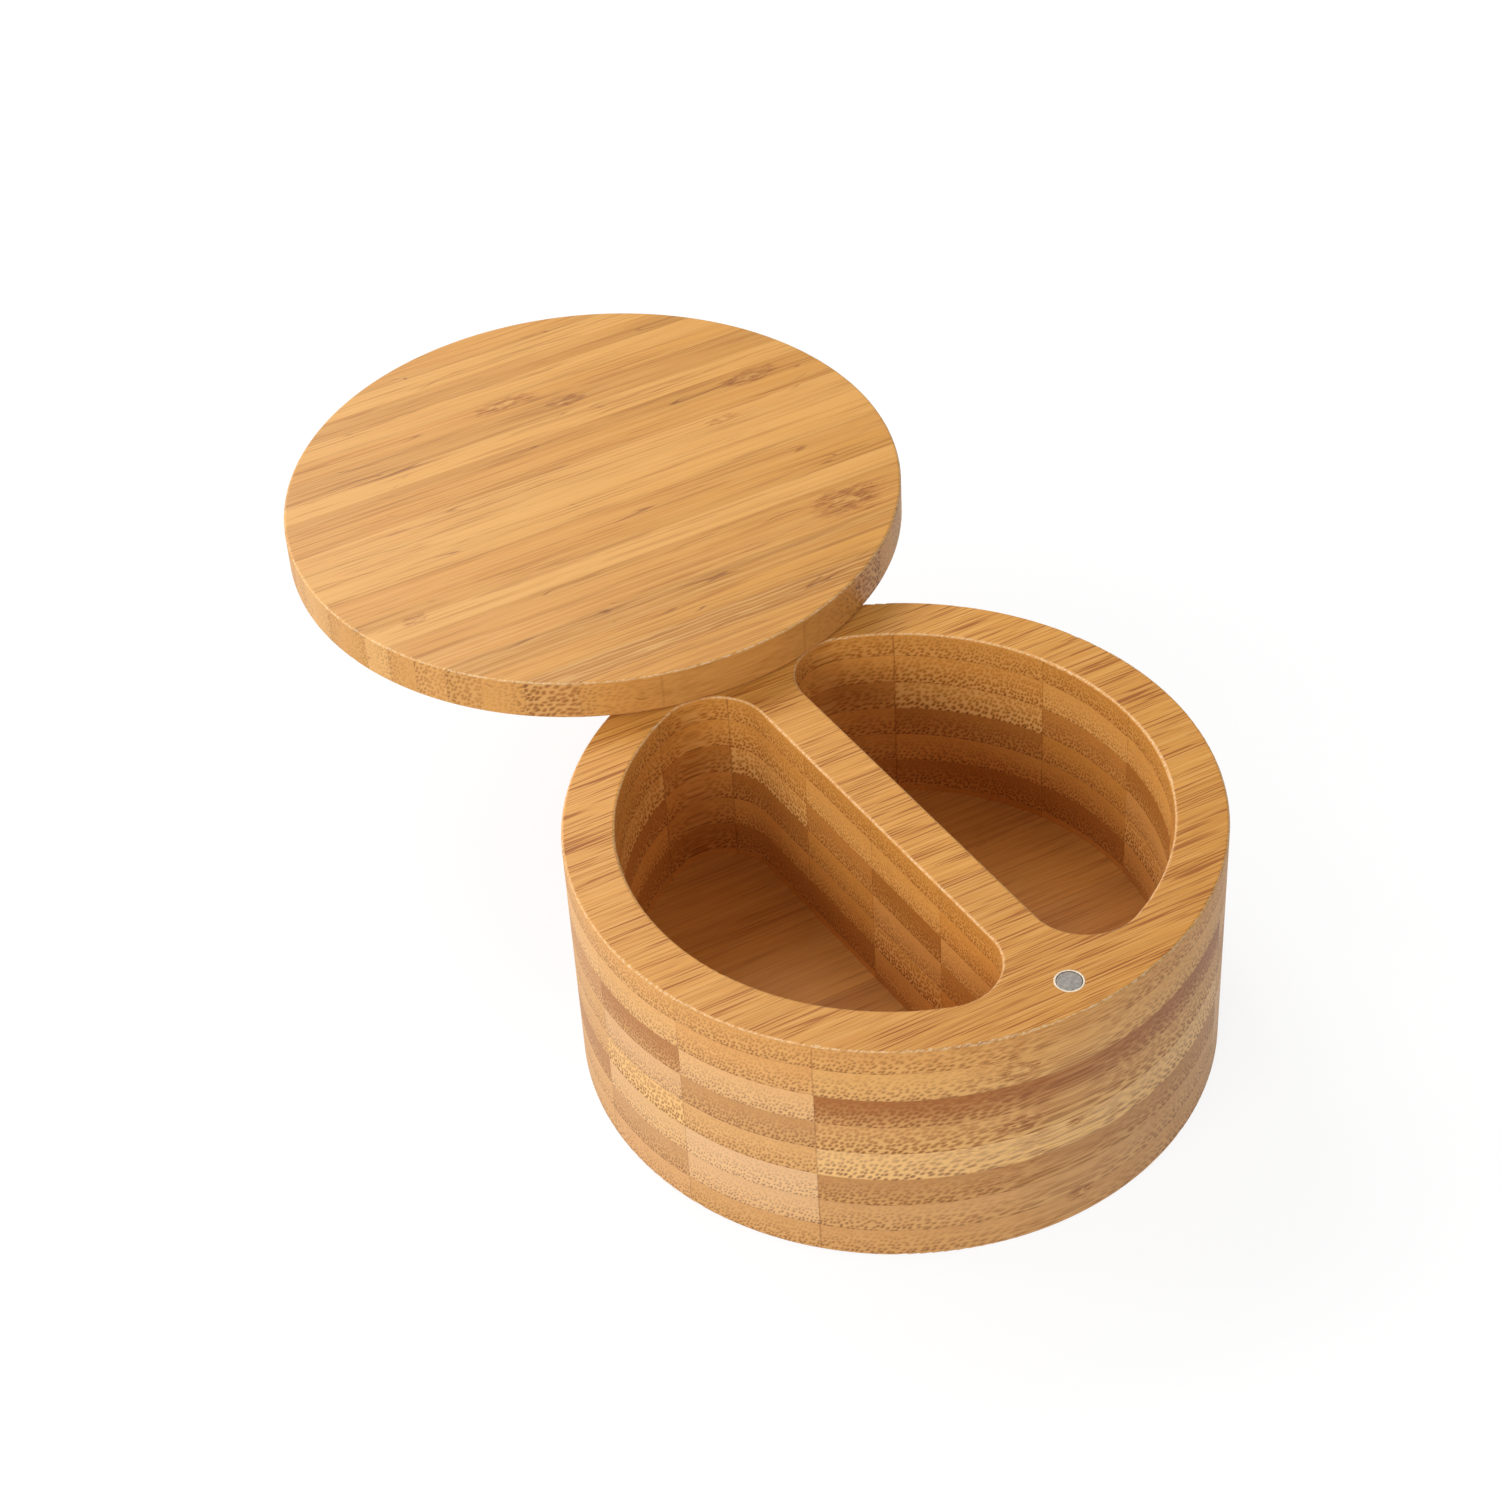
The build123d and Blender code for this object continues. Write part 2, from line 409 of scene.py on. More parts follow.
def knuckle_group():
    """A patch where the cane had a joint: a dark mottled ring and a pale core, both ragged"""
    tree, wires, given, result = shader_group(
        "Cane knuckle",
        (
            ("Along", "value", 0.0), ("Across", "value", 0.0), ("Up", "value", 0.0),
            ("Place", "vector", (0.0, 0.0, 0.0)), ("Size", "vector", (6.0, 3.0, 3.0)),
        ),
        (("Ring", "value"), ("Core", "value")),
    )
    here = wires.combine(given["Along"], given["Across"], given["Up"])
    offset = wires.vector("DIVIDE", wires.vector("SUBTRACT", here, given["Place"]), given["Size"])
    ragged = wires.vector("SUBTRACT", wires.noise(wires.vector("MULTIPLY", here, (0.35, 0.9, 0.9)), detail=2.0)[1],
                          (0.5, 0.5, 0.5))
    distance = wires.vector("LENGTH", wires.vector("ADD", offset, wires.scale(ragged, 1.1)))
    specks = wires.noise(wires.vector("MULTIPLY", here, (0.35, 2.2, 2.2)), detail=2.0)[0]
    core = wires.ramp(distance, 0.34, 0.12)
    around = wires.math("SUBTRACT", wires.ramp(distance, 1.05, 0.55), core, clamp=True)
    wires.feed(result["Core"], wires.math("MULTIPLY", core, wires.ramp(specks, 0.62, 0.40)))
    wires.feed(result["Ring"], wires.math("MULTIPLY", around, wires.ramp(specks, 0.42, 0.58, 0.15, 0.7)))
    return tree


def eased_edge_group():
    """Where a rounded edge turns from level to upright, with tiny teeth left by the fibres: a mask for pale sanded
    fibres and a painted highlight along the edge
    """
    tree, wires, given, result = shader_group(
        "Eased edge wear and highlight", (("Level", "value", 1.0), ("Raggedness", "value", 0.85)), (("Mask", "value"),)
    )
    squared = wires.math("MULTIPLY", given["Level"], given["Level"])
    slope = wires.math("MULTIPLY", squared, wires.math("SUBTRACT", 1.0, squared))
    place = wires.scale(wires.node("ShaderNodeTexCoord").outputs["Object"], 1 / MM)
    teeth = wires.noise(wires.vector("MULTIPLY", place, (0.9, 2.6, 2.6)), detail=2.0, roughness=0.6)[0]
    teeth = wires.blend_values(given["Raggedness"], 1.0, wires.ramp(teeth, 0.40, 0.60))
    wires.feed(result["Mask"], wires.math("MULTIPLY", wires.ramp(slope, 0.08, 0.23), teeth))
    return tree


def bamboo_group(look):
    """Colour, roughness and relief of oiled bamboo from its ripeness, fibres, streaks and knuckles, with a painted
    floor reflection on outer upright faces and a painted highlight on eased edges
    """
    tree, wires, given, result = shader_group(
        "Oiled bamboo",
        (
            ("Ripeness", "value", 0.5), ("Pallor", "value", 0.0), ("Smoke", "value", 0.0), ("Dullness", "value", 0.0),
            ("Hue", "value", 0.0), ("Outside", "value", 0.0),
            ("Bundles", "value", 0.0), ("Gaps", "value", 0.0), ("Dark", "value", 0.0), ("Pale", "value", 0.0),
            ("Broad", "value", 0.5), ("Vein", "value", 0.0), ("Ring", "value", 0.0), ("Core", "value", 0.0),
            ("Edge", "value", 0.0), ("Joint", "value", 0.0), ("End grain", "value", 0.0),
            ("Pale colour", "colour", look.pale), ("Ripe colour", "colour", look.ripe),
            ("Smoked colour", "colour", look.smoked), ("Fibre colour", "colour", look.fibre),
            ("Worn colour", "colour", look.worn), ("Base roughness", "value", look.roughness),
        ),
        (("Colour", "colour"), ("Roughness", "value"), ("Height", "value")),
    )
    swing = wires.math("MULTIPLY", wires.math("SUBTRACT", given["Broad"], 0.5), wires.blend_values(
        given["End grain"], 1.1, 0.4))
    ripeness = wires.math("ADD", given["Ripeness"], swing)
    ripeness = wires.math("SUBTRACT", ripeness, wires.math("MULTIPLY", given["Pallor"], 0.45), clamp=True)
    colour = wires.mix(ripeness, given["Pale colour"], given["Ripe colour"])
    colour = wires.mix(wires.math("MULTIPLY", given["Pallor"], 0.35), colour, given["Worn colour"])
    # Painted reflection: outer upright faces are made paler and bluer, as if the white floor showed in the oil
    colour = wires.mix(given["Outside"], colour, wires.mix(1.0, colour, (0.98, 1.13, 1.95), blend="MULTIPLY"))
    colour = wires.mix(given["Smoke"], colour, given["Smoked colour"])
    colour = wires.mix(given["Dullness"], colour, wires.mix(1.0, colour, (0.80, 0.76, 0.74), blend="MULTIPLY"))

    hue = wires.math("ADD", wires.math("MULTIPLY", given["Hue"], 0.5), 0.5)
    cast = wires.mix(hue, (1.0, 0.985, 1.03), (1.0, 1.01, 0.84))
    colour = wires.mix(1.0, colour, cast, blend="MULTIPLY")
    colour = wires.mix(wires.math("MULTIPLY", given["Gaps"], 0.55), colour, given["Worn colour"])
    pale_streak = wires.math("MULTIPLY", given["Pale"], 0.22)
    colour = wires.mix(pale_streak, colour, given["Worn colour"])
    shade = wires.mix(1.0, colour, (0.50, 0.32, 0.14), blend="MULTIPLY")
    streak = wires.math("ADD", given["Dark"], given["Ring"], clamp=True)
    colour = wires.mix(streak, colour, shade)
    colour = wires.mix(wires.math("MULTIPLY", given["Core"], 0.28), colour, given["Worn colour"])
    colour = wires.mix(given["Bundles"], colour, given["Fibre colour"])
    line = wires.math("MAXIMUM", wires.math("MULTIPLY", given["Vein"], 0.75), given["Joint"])
    colour = wires.mix(line, colour, wires.mix(1.0, colour, (0.50, 0.36, 0.24), blend="MULTIPLY"))
    # Eased edges lighter than the worn colour: partly sanded fibres, partly a painted highlight
    colour = wires.mix(wires.math("MULTIPLY", given["Edge"], 0.62), colour, wires.mix(
        0.5, given["Worn colour"], (0.95, 0.80, 0.60)))
    wires.feed(result["Colour"], colour)

    rough = wires.math("ADD", given["Base roughness"], wires.math("MULTIPLY", given["Dark"], 0.12))
    rough = wires.math("ADD", rough, wires.math("MULTIPLY", given["Bundles"], 0.16))
    rough = wires.math("ADD", rough, wires.math("MULTIPLY", given["End grain"], 0.05), clamp=True)
    wires.feed(result["Roughness"], rough)

    relief = wires.math("SUBTRACT", wires.math("MULTIPLY", given["Pale"], 0.3), wires.math(
        "MULTIPLY", given["Dark"], 0.5))
    relief = wires.math("SUBTRACT", relief, given["Bundles"])
    relief = wires.math("SUBTRACT", relief, line)
    wires.feed(result["Height"], relief)
    return tree


# ---------------------------------------------------------------- materials


def new_material(name):
    material = bpy.data.materials.new(name)
    material.use_nodes = True
    material.node_tree.nodes.clear()
    wires = Wiring(material.node_tree)
    shader = wires.node("ShaderNodeBsdfPrincipled")
    output = wires.node("ShaderNodeOutputMaterial")
    wires.feed(output.inputs["Surface"], shader.outputs["BSDF"])
    return material, wires, shader


def apply_relief(wires, shader, height, depth):
    bump = wires.node("ShaderNodeBump")
    bump.inputs["Strength"].default_value = 1.0
    bump.inputs["Distance"].default_value = depth
    wires.feed(bump.inputs["Height"], height)
    wires.feed(shader.inputs["Normal"], bump.outputs["Normal"])


def strip_choice(wires, strip, table, plank):
    """How strongly this plank's named strips show at the height of the shaded point"""
    total = 0.0
    for (plank_number, strip_number), strength in table.items():
        if plank_number == plank:
            here = wires.math("MULTIPLY", wires.math("COMPARE", strip, float(strip_number), 0.4), strength)
            total = here if total == 0.0 else wires.math("ADD", total, here)
    return total


def join_knuckles(wires, groups, place, knuckles):
    """The strongest ring and core of the knuckles near a piece"""
    ring, core = 0.0, 0.0
    for centre, size in knuckles:
        patch = wires.group(groups["knuckle"], along=place["Along"], across=place["Across"], up=place["Up"],
                            place=centre, size=size)
        ring = patch["Ring"] if ring == 0.0 else wires.math("MAXIMUM", ring, patch["Ring"])
        core = patch["Core"] if core == 0.0 else wires.math("MAXIMUM", core, patch["Core"])
    return ring, core


def thin_line(wires, value, spacing, half_width):
    """A soft line wherever the value is a whole number of spacings"""
    steps = wires.math("DIVIDE", value, spacing)
    off = wires.math("ABSOLUTE", wires.math("SUBTRACT", steps, wires.math("ROUND", steps)))
    return wires.ramp(off, half_width / spacing, 0.3 * half_width / spacing)


def finish_bamboo(wires, shader, groups, look, place, streaks, contrast, reach, reflection_strength, values):
    """Join the shared effects into the bamboo surface of one plank or stave, with a painted floor reflection on its
    outer upright faces and a painted highlight on its eased edges
    """
    # Edge mask for sanded fibres and a painted highlight
    edge = wires.group(groups["edge"], level=place["Level"])
    # Painted floor reflection on the outer upright faces, scaled by the reflection strength
    upright = wires.ramp(place["Level"], 0.8, 0.3)
    outside = wires.math("MULTIPLY", wires.ramp(place["Radius"], reach - 1.2, reach - 0.4), upright)
    outside = wires.math("MULTIPLY", outside, reflection_strength)
    long_grain = wires.math("MULTIPLY", wires.blend_values(place["End grain"], 1.0, 0.22), contrast)
    long_grain = wires.math("MULTIPLY", long_grain, wires.blend_values(upright, 1.0, 0.6))
    bamboo = wires.group(
        groups["bamboo"], dark=wires.math("MULTIPLY", streaks["Dark"], long_grain),
        pale=wires.math("MULTIPLY", streaks["Pale"], long_grain), broad=streaks["Broad"],
        end_grain=place["End grain"], edge=edge["Mask"], outside=outside, **values,
    )
    wires.feed(shader.inputs["Base Color"], bamboo["Colour"])
    wires.feed(shader.inputs["Roughness"], bamboo["Roughness"])
    shader.inputs["IOR"].default_value = look.gloss
    apply_relief(wires, shader, bamboo["Height"], look.bump)


def plank_material(number, look, groups, knuckles):
    """One plank of the body: strips lying flat on each other, dense and dark towards their undersides"""
    material, wires, shader = new_material(f"Body bamboo {number}")
    place = wires.group(groups["frame"], centre=(0.0, 0.0, 0.0), angle=look.grain_angle)
    slack = wires.math("SUBTRACT", wires.noise(wires.combine(
        wires.math("MULTIPLY", place["Along"], 0.03), wires.math("MULTIPLY", place["Across"], 0.05), number * 3.1,
    ), detail=1.0)[0], 0.5)
    slack = wires.math("MULTIPLY", slack, 0.8)
    from_rim = wires.math("SUBTRACT", BODY_HIGH[2] + PLANED_OFF, wires.math("ADD", place["Up"], slack))
    from_rim = wires.math("MAXIMUM", wires.math("DIVIDE", from_rim, STRIP_THICKNESS), 0.05)
    from_rim = wires.math("MINIMUM", from_rim, STRIP_COUNT - 0.1)
    whole = wires.math("FLOOR", from_rim)
    strip = wires.math("ADD", whole, 1.0)
    depth = wires.math("SUBTRACT", from_rim, whole)
    seed = wires.math("ADD", strip, number * 11.0)
    coarse = strip_choice(wires, strip, COARSE_STRIPS, number)
    ring, core = join_knuckles(wires, groups, place, knuckles)
    fibres = wires.group(
        groups["bundles"], along=place["Along"], across=place["Across"], up=place["Up"], seed=seed,
        pitch=look.fibre_pitch / MM, coarseness=coarse, tangle=ring,
    )
    streaks = wires.group(groups["streaks"], along=place["Along"], across=place["Across"], up=place["Up"],
                          seed=seed, tangle=ring)
    density = wires.math("POWER", depth, 1.3)
    density = wires.math("ADD", wires.math("MULTIPLY", density, 0.72), wires.math("MULTIPLY", coarse, 0.12))
    bundles = wires.math("MULTIPLY", fibres["Bundles"], wires.math("ADD", density, 0.12), clamp=True)
    bundles = wires.math("MULTIPLY", bundles, wires.blend_values(place["End grain"], 0.6, 0.95))
    ripeness = wires.math("ADD", wires.math("MULTIPLY", wires.random(seed), 0.40), wires.math(
        "MULTIPLY", wires.math("POWER", depth, 2.0), 0.45))
    smoke = wires.math("MULTIPLY", strip_choice(wires, strip, SMOKED_STRIPS, number), wires.ramp(
        depth, 0.4, 1.2, 1.0, 0.3))
    seam = wires.math("MULTIPLY", wires.ramp(depth, 0.94, 0.99), 0.30)
    joint = wires.math("MULTIPLY", thin_line(wires, place["Across"], look.plank_width / MM, 0.16), wires.ramp(
        streaks["Broad"], 0.35, 0.65, 0.2, 0.7))
    # Painted floor reflection on the side: faint at the rim, full from 25 mm below it
    reflection_strength = wires.ramp(place["Up"], BODY_HIGH[2], BODY_HIGH[2] - 25.0, 0.35, 1.0)
    contrast = wires.ramp(place["Up"], 12.5, 14.5, 0.45, 1.0)
    finish_bamboo(wires, shader, groups, look, place, streaks, contrast, BODY_HIGH[0], reflection_strength, {
        "gaps": wires.math("MULTIPLY", fibres["Gaps"], wires.math("ADD", wires.math("MULTIPLY", depth, 0.6), coarse)),
        "hue": strip_choice(wires, strip, STRIP_HUES, number), "vein": 0.0,
        "ripeness": ripeness, "smoke": smoke, "pallor": strip_choice(wires, strip, PALE_STRIPS, number),
        "dullness": strip_choice(wires, strip, DULL_STRIPS, number), "bundles": bundles, "ring": ring, "core": core,
        "joint": wires.math("MAXIMUM", seam, joint),
    })
    return material


def stave_material(number, look, groups, knuckles):
    """One stave of the lid: a strip on edge, so that its fibres thicken from one side to the other"""
    material, wires, shader = new_material(f"Lid bamboo {number:02d}")
    place = wires.group(groups["frame"], centre=(0.0, LID_CENTRE_Y, 0.0), angle=look.grain_angle)
    chooser = random.Random(700 + number)
    stave_width = look.stave_width / MM
    middle = (number - (len(STAVE_NAMES) + 1) / 2) * stave_width
    depth = wires.math("ADD", wires.math("DIVIDE", wires.math("SUBTRACT", place["Across"], middle), stave_width), 0.5)
    if chooser.random() < 0.5:
        depth = wires.math("SUBTRACT", 1.0, depth)
    ring, core = join_knuckles(wires, groups, place, knuckles)
    coarse = COARSE_STAVES.get(number, 0.0)
    fibres = wires.group(
        groups["bundles"], along=place["Along"], across=place["Across"], up=place["Up"], seed=number * 1.7,
        pitch=look.fibre_pitch / MM, crowding=1.5, coarseness=coarse, wander=0.8, tangle=wires.math(
            "MAXIMUM", ring, 0.3 if number <= 3 else 0.0),
    )
    streaks = wires.group(groups["streaks"], along=place["Along"], across=place["Across"], up=place["Up"],
                          seed=number * 2.3, length=24.0, width=0.50, waviness=0.25, tangle=ring)
    on_side = wires.ramp(place["Level"], 0.9, 0.3)
    density = wires.math("ADD", wires.math("MULTIPLY", wires.math("POWER", depth, 1.6), 0.5), 0.10 + 0.35 * coarse)
    density = wires.math("MULTIPLY", density, wires.blend_values(on_side, 0.15, 0.9))
    tone = 0.22 + 0.16 * chooser.random() + 0.26 * DARK_STAVES.get(number, 0.0)
    ripeness = wires.math("ADD", tone, wires.math("MULTIPLY", wires.math("POWER", depth, 2.0), 0.16))
    joint = wires.math("ADD", place["Across"], 0.5 * stave_width)
    joint = wires.math("MULTIPLY", thin_line(wires, joint, stave_width, 0.10), 0.22)
    # The lid's side gets a faint painted floor reflection (0.35)
    finish_bamboo(wires, shader, groups, look, place, streaks, 0.45, LID_HIGH[0], 0.35, {
        "ripeness": ripeness, "pallor": 0.7 * PALE_STAVES.get(number, 0.0), "smoke": 0.3 * coarse,
        "gaps": wires.math("MULTIPLY", fibres["Gaps"], 0.15 + 0.5 * coarse), "vein": streaks["Vein"],
        "hue": 0.5 * chooser.random() - 0.05, "ripe_colour": tuple(look.lid_ripe),
        "bundles": wires.math("MULTIPLY", fibres["Bundles"], density, clamp=True), "ring": ring, "core": core,
        "joint": joint,
    })
    return material


def metal_material(name, colour, roughness, scratch_direction):
    """Plated or ground metal with fine scratches and a few dull spots"""
    material, wires, shader = new_material(name)
    place = wires.scale(wires.node("ShaderNodeTexCoord").outputs["Object"], 1 / MM)
    scratches = wires.noise(wires.vector("MULTIPLY", place, scratch_direction), detail=4.0, roughness=0.7)[0]
    spots = wires.ramp(wires.noise(place, scale=1.6, detail=3.0)[0], 0.52, 0.70)
    shade = wires.mix(wires.math("MULTIPLY", spots, 0.35), (*colour, 1.0), tuple(0.62 * part for part in colour))
    shade = wires.mix(wires.ramp(scratches, 0.45, 0.65, 0.0, 0.25), shade, tuple(
        min(1.0, 1.25 * part) for part in colour))
    wires.feed(shader.inputs["Base Color"], shade)
    wires.feed(shader.inputs["Metallic"], 1.0)
    wires.feed(shader.inputs["Roughness"], wires.ramp(scratches, 0.3, 0.7, roughness - 0.08, roughness + 0.10))
    apply_relief(wires, shader, scratches, 0.01 * MM)
    return material


def glue_material(look):
    """Hardened glue, clear and slightly yellow, with tiny bubbles"""
    material, wires, shader = new_material("Magnet glue")
    place = wires.scale(wires.node("ShaderNodeTexCoord").outputs["Object"], 1 / MM)
    bubbles = wires.noise(place, scale=3.5, detail=2.0)[0]
    wires.feed(shader.inputs["Base Color"], wires.mix(wires.ramp(bubbles, 0.4, 0.7), (*look.glue, 1.0), (
        0.92, 0.84, 0.72)))
    wires.feed(shader.inputs["Roughness"], wires.ramp(bubbles, 0.3, 0.7, 0.18, 0.34))
    apply_relief(wires, shader, bubbles, 0.02 * MM)
    return material


def dress(node_name, material):
    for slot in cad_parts[node_name].material_slots:
        slot.material = material


def shared_groups(look):
    """The effects that all bamboo materials use, built once"""
    if "Oiled bamboo" not in bpy.data.node_groups:
        grain_frame_group()
        bundle_group()
        streak_group()
        knuckle_group()
        eased_edge_group()
        bamboo_group(look)
    names = {"frame": "Grain frame", "bundles": "Fibre bundles", "streaks": "Grain streaks",
             "knuckle": "Cane knuckle", "edge": "Eased edge wear and highlight", "bamboo": "Oiled bamboo"}
    return {key: bpy.data.node_groups[name] for key, name in names.items()}


def as_grain(x, y, up, angle, centre_y=0.0):
    """A place in the row frame as millimetres along the grain, across it and up"""
    turned = Matrix.Rotation(-angle, 3, "Z") @ Vector((x, y - centre_y, up))
    return tuple(turned)


# ---------------------------------------------------------------- operators


class SALTBOX_OT_body(Operator):
    """Give the six planks of the body their bamboo"""

    bl_idname = "saltbox.body"
    bl_label = "Body Planks"

    def execute(self, context):
        look = context.scene.saltbox_bamboo
        groups = shared_groups(look)
        patches = (
            (1, (-15.0, -61.5, 45.7), (5.0, 3.0, 3.2)), (1, (-15.0, -61.5, 31.4), (4.5, 3.0, 2.8)),
            (1, (-3.5, -63.0, 26.4), (2.6, 2.0, 1.8)), (2, (-35.0, -52.8, 18.3), (4.0, 3.0, 2.2)),
            (1, (-2.0, -63.2, 6.4), (3.6, 2.4, 2.4)), (4, (36.5, 28.0, 12.4), (4.5, 9.0, 2.0)),
        )
        for number, name in enumerate(PLANK_NAMES, start=1):
            knuckles = [(as_grain(*place, look.grain_angle), size) for plank, place, size in patches
                        if plank == number]
            dress(name, plank_material(number, look, groups, knuckles))
        return {"FINISHED"}


class SALTBOX_OT_lid(Operator):
    """Give the staves of the lid their bamboo"""

    bl_idname = "saltbox.lid"
    bl_label = "Lid Staves"

    def execute(self, context):
        look = context.scene.saltbox_bamboo
        groups = shared_groups(look)
        top = LID_HIGH[2]
        pitch = look.stave_width / MM
        patches = (
            ((-1.0, 37.0), (8.5, 2.4, 5.0)), ((11.0, 30.0), (5.0, 2.2, 5.0)), ((48.0, 14.0), (8.0, 2.8, 5.0)),
            ((35.0, 4.0), (4.0, 1.6, 5.0)), ((41.0, -36.0), (9.5, 5.0, 6.0)), ((-52.0, -18.0), (3.5, 1.6, 4.0)),
        )
        knuckles = [((*as_grain(x, y, 0.0, look.grain_angle)[:2], top), size) for (x, y), size in patches]
        for number, name in enumerate(STAVE_NAMES, start=1):
            middle = (number - (len(STAVE_NAMES) + 1) / 2) * pitch
            near = [(place, size) for place, size in knuckles if abs(place[1] - middle) < pitch / 2 + 1.3 * size[1]]
            dress(name, stave_material(number, look, groups, near))
        return {"FINISHED"}


def ring_bead(name, centre, radius, width, height, upwards):
    """A low bead round a magnet: a ring whose section is a flat arch"""
    around, arch = 96, 8
    points, faces = [], []
    for step in range(around):
        angle = 2 * math.pi * step / around
        wobble = 1.0 + 0.10 * math.sin(3 * angle + 0.7) + 0.06 * math.sin(7 * angle)
        for part in range(arch):
            swing = math.pi * part / (arch - 1)
            out = radius + 0.5 * width * wobble * math.cos(swing)
            lift = upwards * height * math.sin(swing) * wobble
            points.append((centre[0] + out * math.cos(angle), centre[1] + out * math.sin(angle), centre[2] + lift))
    for step in range(around):
        following = (step + 1) % around
        for part in range(arch):
            beside = (part + 1) % arch
            corners = (step * arch + part, following * arch + part, following * arch + beside, step * arch + beside)
            faces.append(corners if upwards > 0 else corners[::-1])
    mesh = bpy.data.meshes.new(name)
    mesh.from_pydata(points, [], faces)
    mesh.validate()
    for face in mesh.polygons:
        face.use_smooth = True
    bead = bpy.data.objects.new(name, mesh)
    bpy.context.scene.collection.objects.link(bead)
    return bead


class SALTBOX_OT_closure(Operator):
    """Finish the pin, the washer and the two magnets with their glue"""

    bl_idname = "saltbox.closure"
    bl_label = "Pin, Washer and Magnets"

    def execute(self, context):
        look = context.scene.saltbox_hardware
        nickel = metal_material("Nickel plating", look.nickel, 0.42, (2.0, 2.0, 2.0))
        steel = metal_material("Ground steel", look.steel, 0.34, (1.0, 1.0, 9.0))
        dress("body_magnet", nickel)
        dress("lid_magnet", nickel)
        dress("pivot_pin", steel)
        dress("pivot_washer", steel)
        glue = glue_material(look)
        for magnet, body, upwards in (("body_magnet", "box", 1), ("lid_magnet", "lid", -1)):
            low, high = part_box(magnet)
            face = high.z if upwards > 0 else low.z
            centre = Vector(((low.x + high.x) / 2, (low.y + high.y) / 2, face))
            bead = ring_bead(f"{magnet}_glue", centre, (high.x - low.x) / 2 + 0.16 * MM, look.glue_bead, 0.05 * MM, upwards)
            bead.data.materials.append(glue)
            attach(bead, body)
        return {"FINISHED"}


def soft_lamp(name, place, aim, size, power, colour):
    data = bpy.data.lights.new(name, "AREA")
    data.shape = "RECTANGLE"
    data.size, data.size_y = size
    data.energy = power
    data.color = colour
    lamp = bpy.data.objects.new(name, data)
    lamp.location = place
    lamp.rotation_euler = (Vector(aim) - Vector(place)).to_track_quat("-Z", "Y").to_euler()
    bpy.context.scene.collection.objects.link(lamp)
    return lamp


def white_to_camera(wires, colour, strength):
    """An emission that only camera, mirror and glass rays see"""
    path = wires.node("ShaderNodeLightPath")
    seen = wires.math("MAXIMUM", path.outputs["Is Camera Ray"], wires.math(
        "MAXIMUM", path.outputs["Is Glossy Ray"], path.outputs["Is Transmission Ray"]))
    glow = wires.node("ShaderNodeEmission")
    wires.feed(glow.inputs["Color"], colour)
    wires.feed(glow.inputs["Strength"], wires.math("MULTIPLY", seen, strength))
    return glow.outputs[0], seen


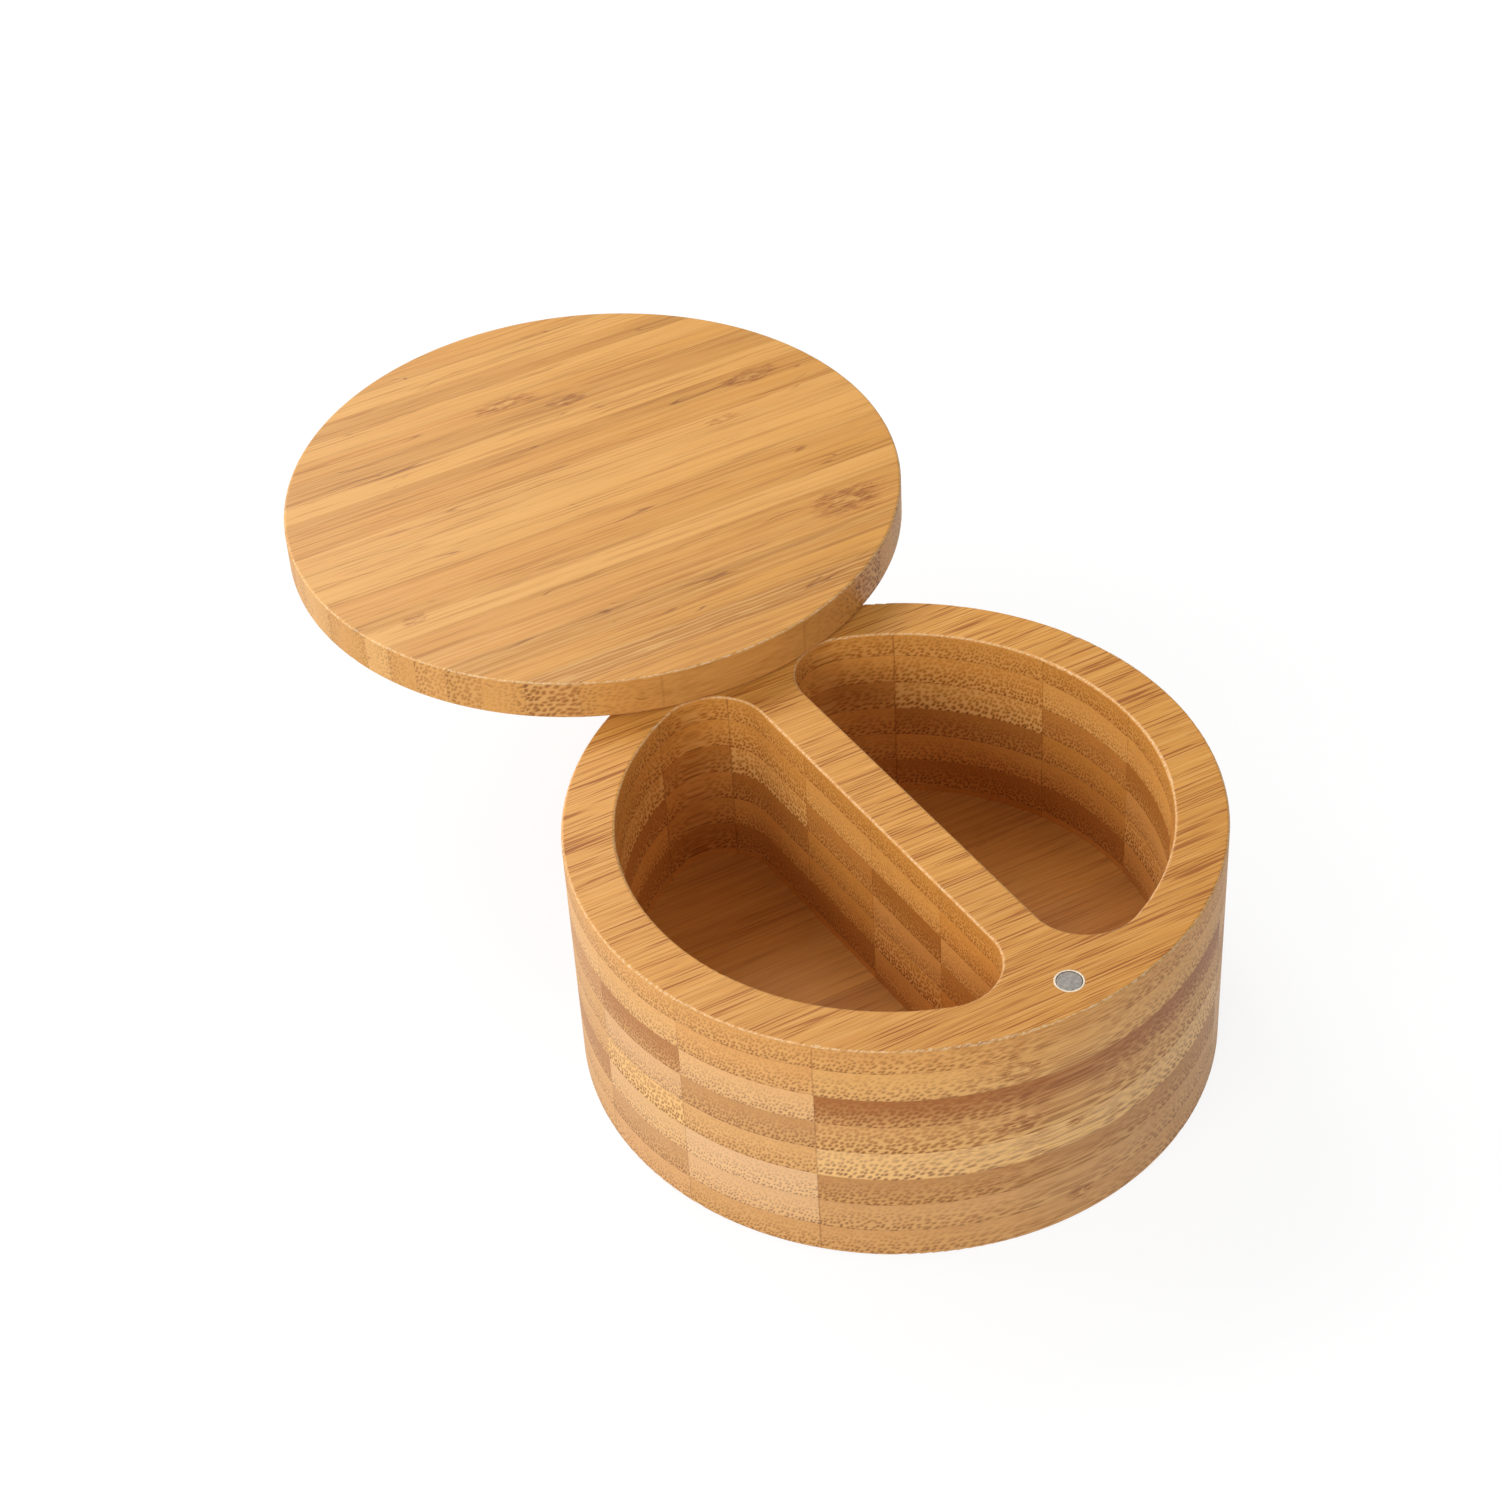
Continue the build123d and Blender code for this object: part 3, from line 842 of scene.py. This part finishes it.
class SALTBOX_OT_stage(Operator):
    """Set up the white floor, the room light, the lamps and the camera"""

    bl_idname = "saltbox.stage"
    bl_label = "Studio"

    def execute(self, context):
        scene = context.scene
        studio = scene.saltbox_studio
        scene.view_settings.view_transform = "Standard"

        floor_mesh = bpy.data.meshes.new("studio_floor")
        reach = 6.0
        floor_mesh.from_pydata(
            [(-reach, -reach, -0.0002), (reach, -reach, -0.0002), (reach, reach, -0.0002), (-reach, reach, -0.0002)],
            [], [(0, 1, 2, 3)],
        )
        floor = bpy.data.objects.new("studio_floor", floor_mesh)
        scene.collection.objects.link(floor)
        material = bpy.data.materials.new("Studio floor")
        material.use_nodes = True
        material.node_tree.nodes.clear()
        wires = Wiring(material.node_tree)
        paper = wires.node("ShaderNodeBsdfDiffuse")
        wires.feed(paper.inputs["Color"], (0.80, 0.80, 0.80, 1.0))
        glow, seen = white_to_camera(wires, (1.0, 1.0, 1.0, 1.0), 0.86)
        faint = wires.node("ShaderNodeBsdfDiffuse")
        wires.feed(faint.inputs["Color"], (0.17, 0.17, 0.17, 1.0))
        lit = wires.node("ShaderNodeAddShader")
        wires.feed(lit.inputs[0], faint.outputs[0])
        wires.feed(lit.inputs[1], glow)
        choice = wires.node("ShaderNodeMixShader")
        wires.feed(choice.inputs[0], seen)
        wires.feed(choice.inputs[1], paper.outputs[0])
        wires.feed(choice.inputs[2], lit.outputs[0])
        wires.feed(wires.node("ShaderNodeOutputMaterial").inputs["Surface"], choice.outputs[0])
        material.cycles.emission_sampling = "NONE"
        floor_mesh.materials.append(material)

        world = bpy.data.worlds.new("Studio room")
        scene.world = world
        world.use_nodes = True
        world.node_tree.nodes.clear()
        wires = Wiring(world.node_tree)
        path = wires.node("ShaderNodeLightPath")
        strength = wires.blend_values(path.outputs["Is Camera Ray"], studio.sky, 1.0)
        room = wires.node("ShaderNodeBackground")
        wires.feed(room.inputs["Color"], (1.0, 1.0, 1.0, 1.0))
        wires.feed(room.inputs["Strength"], strength)
        wires.feed(wires.node("ShaderNodeOutputWorld").inputs["Surface"], room.outputs[0])

        aim = (0.0, 0.05, 0.03)
        soft_lamp("Back lamp", (0.0, 0.928, 0.848), aim, (0.6, 0.8), studio.back_power, (1.0, 1.0, 1.0))
        soft_lamp("Side lamp", (-0.669, 0.719, 0.769), aim, (0.5, 0.6), studio.side_power, (1.0, 1.0, 1.0))
        soft_lamp("Left lamp", (-0.600, -0.269, 0.347), aim, (0.56, 0.32), studio.left_power, (1.0, 1.0, 1.0))
        soft_lamp("Front lamp", (0.336, -0.824, 0.718), aim, (0.6, 0.6), studio.front_power, (1.0, 1.0, 1.0))

        data = bpy.data.cameras.new("Camera")
        data.sensor_width = 36.0
        data.sensor_fit = "HORIZONTAL"
        data.lens = studio.lens
        data.clip_start = 0.01
        data.clip_end = 50.0
        camera = bpy.data.objects.new("Camera", data)
        right = Vector((0.84344461, -0.53501021, -0.04863399))
        up = Vector((0.38289418, 0.53518598, 0.75297279))
        back = Vector((-0.3768199, -0.65371251, 0.65625202))
        turn = Matrix((right, up, back)).transposed()
        camera.matrix_world = Matrix.Translation(Vector(studio.camera_place)) @ turn.to_4x4()
        scene.collection.objects.link(camera)
        scene.camera = camera
        return {"FINISHED"}


class SALTBOX_PT_panel(Panel):
    """Lists the settings and the steps of the salt box"""

    bl_idname = "SALTBOX_PT_panel"
    bl_label = "Salt Box"
    bl_space_type = "VIEW_3D"
    bl_region_type = "UI"
    bl_category = "Salt Box"

    def draw(self, context):
        for attribute, group in SETTINGS:
            box = self.layout.box()
            box.label(text=group.__doc__)
            for name in group.__annotations__:
                box.prop(getattr(context.scene, attribute), name)
        for operator in OPERATORS:
            self.layout.operator(operator.bl_idname)


OPERATORS = (SALTBOX_OT_body, SALTBOX_OT_lid, SALTBOX_OT_closure, SALTBOX_OT_stage)


def register():
    for attribute, group in SETTINGS:
        bpy.utils.register_class(group)
        setattr(bpy.types.Scene, attribute, PointerProperty(type=group))
    for operator in OPERATORS:
        bpy.utils.register_class(operator)
    bpy.utils.register_class(SALTBOX_PT_panel)


def unregister():
    bpy.utils.unregister_class(SALTBOX_PT_panel)
    for operator in reversed(OPERATORS):
        bpy.utils.unregister_class(operator)
    for attribute, group in reversed(SETTINGS):
        delattr(bpy.types.Scene, attribute)
        bpy.utils.unregister_class(group)


def main():
    register()
    bpy.ops.saltbox.body()
    bpy.ops.saltbox.lid()
    bpy.ops.saltbox.closure()
    bpy.ops.saltbox.stage()


if __name__ == "__main__":
    main()
